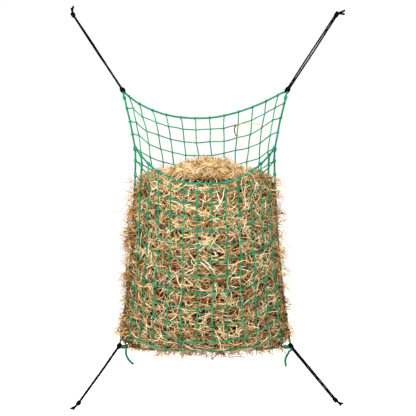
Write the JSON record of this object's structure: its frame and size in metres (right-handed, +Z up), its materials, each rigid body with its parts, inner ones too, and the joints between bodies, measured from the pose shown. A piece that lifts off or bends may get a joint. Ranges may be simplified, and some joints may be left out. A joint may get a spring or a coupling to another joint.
{
  "type": "hay net",
  "caption": "Square-mesh knotted hay net with a sagging pocket mouth, filled with hay and hung by a doubled cord at each corner",
  "frame": {"origin": "middle of the overall box round the net and its four cords", "axes": "+Z up as the net hangs, +X to the right seen from the pocket side, +Y from the pocket side to the wall side"},
  "size_m": [1.114, 0.2872, 1.638],
  "materials": {
    "twine": "satin",
    "border_rope": "satin",
    "cord": "satin",
    "hay": "matte"
  },
  "bodies": {
    "net": {"back_netting": "twine", "front_netting": "twine", "left_side_rope": "border_rope", "right_side_rope": "border_rope", "bottom_rope": "border_rope", "left_side_lacing": "twine", "right_side_lacing": "twine", "bottom_rope_hitches": "twine", "left_mouth_lashing": "twine", "right_mouth_lashing": "twine", "left_foot_whipping": "twine", "right_foot_whipping": "twine", "hay_core": "hay"},
    "head": {"head_netting": "twine", "top_rope": "border_rope", "left_head_rope": "border_rope", "right_head_rope": "border_rope", "top_rope_hitches": "twine", "left_head_lacing": "twine", "right_head_lacing": "twine", "left_top_whipping": "twine", "right_top_whipping": "twine"},
    "mouth": {"mouth_rope": "border_rope", "mouth_rope_hitches": "twine"},
    "armful": {"hay_armful": "hay"},
    "left_tail": {"left_rope_tail": "border_rope"},
    "right_tail": {"right_rope_tail": "border_rope"},
    "top_left_hitch_body": {"top_left_hitch": "cord"},
    "top_left_cord_body": {"top_left_cord": "cord", "top_left_knot": "cord", "top_left_cord_tails": "cord"},
    "top_right_hitch_body": {"top_right_hitch": "cord"},
    "top_right_cord_body": {"top_right_cord": "cord", "top_right_knot": "cord", "top_right_cord_tails": "cord"},
    "bottom_left_hitch_body": {"bottom_left_hitch": "cord"},
    "bottom_left_cord_body": {"bottom_left_cord": "cord", "bottom_left_knot": "cord", "bottom_left_cord_tails": "cord"},
    "bottom_right_hitch_body": {"bottom_right_hitch": "cord"},
    "bottom_right_cord_body": {"bottom_right_cord": "cord", "bottom_right_knot": "cord", "bottom_right_cord_tails": "cord"}
  },
  "joints": [
    {"name": "head_fold", "type": "hinge", "parent": "net", "child": "head", "pos_m": [-0.01058, 0.04984, 0.24809], "axis": [1, 0, 0], "range_deg": [-20, 70]},
    {"name": "mouth_open", "type": "hinge", "parent": "net", "child": "mouth", "pos_m": [-0.01058, 0.04984, 0.24809], "axis": [-1, 0, 0], "range_deg": [0, 22]},
    {"name": "armful_lift", "type": "slide", "parent": "net", "child": "armful", "axis": [0, 0, 1], "range_m": [0, 0.35]},
    {"name": "left_tail_swing", "type": "hinge", "parent": "net", "child": "left_tail", "pos_m": [-0.32858, 0.03384, -0.57291], "axis": [0, 1, 0], "range_deg": [-35, 35]},
    {"name": "right_tail_swing", "type": "hinge", "parent": "net", "child": "right_tail", "pos_m": [0.33042, 0.03384, -0.57291], "axis": [0, 1, 0], "range_deg": [-35, 35]},
    {"name": "top_left_hitch_turn", "type": "hinge", "parent": "head", "child": "top_left_hitch_body", "pos_m": [-0.34458, 0.04984, 0.47909], "axis": [0, 1, 0], "range_deg": [-60, 60]},
    {"name": "top_left_cord_swing", "type": "hinge", "parent": "top_left_hitch_body", "child": "top_left_cord_body", "pos_m": [-0.35474, 0.04984, 0.49455], "axis": [0.8359, 0, 0.5489], "range_deg": [-75, 75]},
    {"name": "top_right_hitch_turn", "type": "hinge", "parent": "head", "child": "top_right_hitch_body", "pos_m": [0.32342, 0.04984, 0.47909], "axis": [0, 1, 0], "range_deg": [-60, 60]},
    {"name": "top_right_cord_swing", "type": "hinge", "parent": "top_right_hitch_body", "child": "top_right_cord_body", "pos_m": [0.33351, 0.04984, 0.4946], "axis": [0.8383, 0, -0.5452], "range_deg": [-75, 75]},
    {"name": "bottom_left_hitch_turn", "type": "hinge", "parent": "net", "child": "bottom_left_hitch_body", "pos_m": [-0.35758, 0.04984, -0.55791], "axis": [0, 1, 0], "range_deg": [-25, 60]},
    {"name": "bottom_left_cord_swing", "type": "hinge", "parent": "bottom_left_hitch_body", "child": "bottom_left_cord_body", "pos_m": [-0.36832, 0.04984, -0.57298], "axis": [-0.8144, 0, 0.5803], "range_deg": [-75, 75]},
    {"name": "bottom_right_hitch_turn", "type": "hinge", "parent": "net", "child": "bottom_right_hitch_body", "pos_m": [0.33642, 0.04984, -0.55791], "axis": [0, 1, 0], "range_deg": [-60, 25]},
    {"name": "bottom_right_cord_swing", "type": "hinge", "parent": "bottom_right_hitch_body", "child": "bottom_right_cord_body", "pos_m": [0.34822, 0.04984, -0.57216], "axis": [-0.77, 0, -0.638], "range_deg": [-75, 75]}
  ]
}
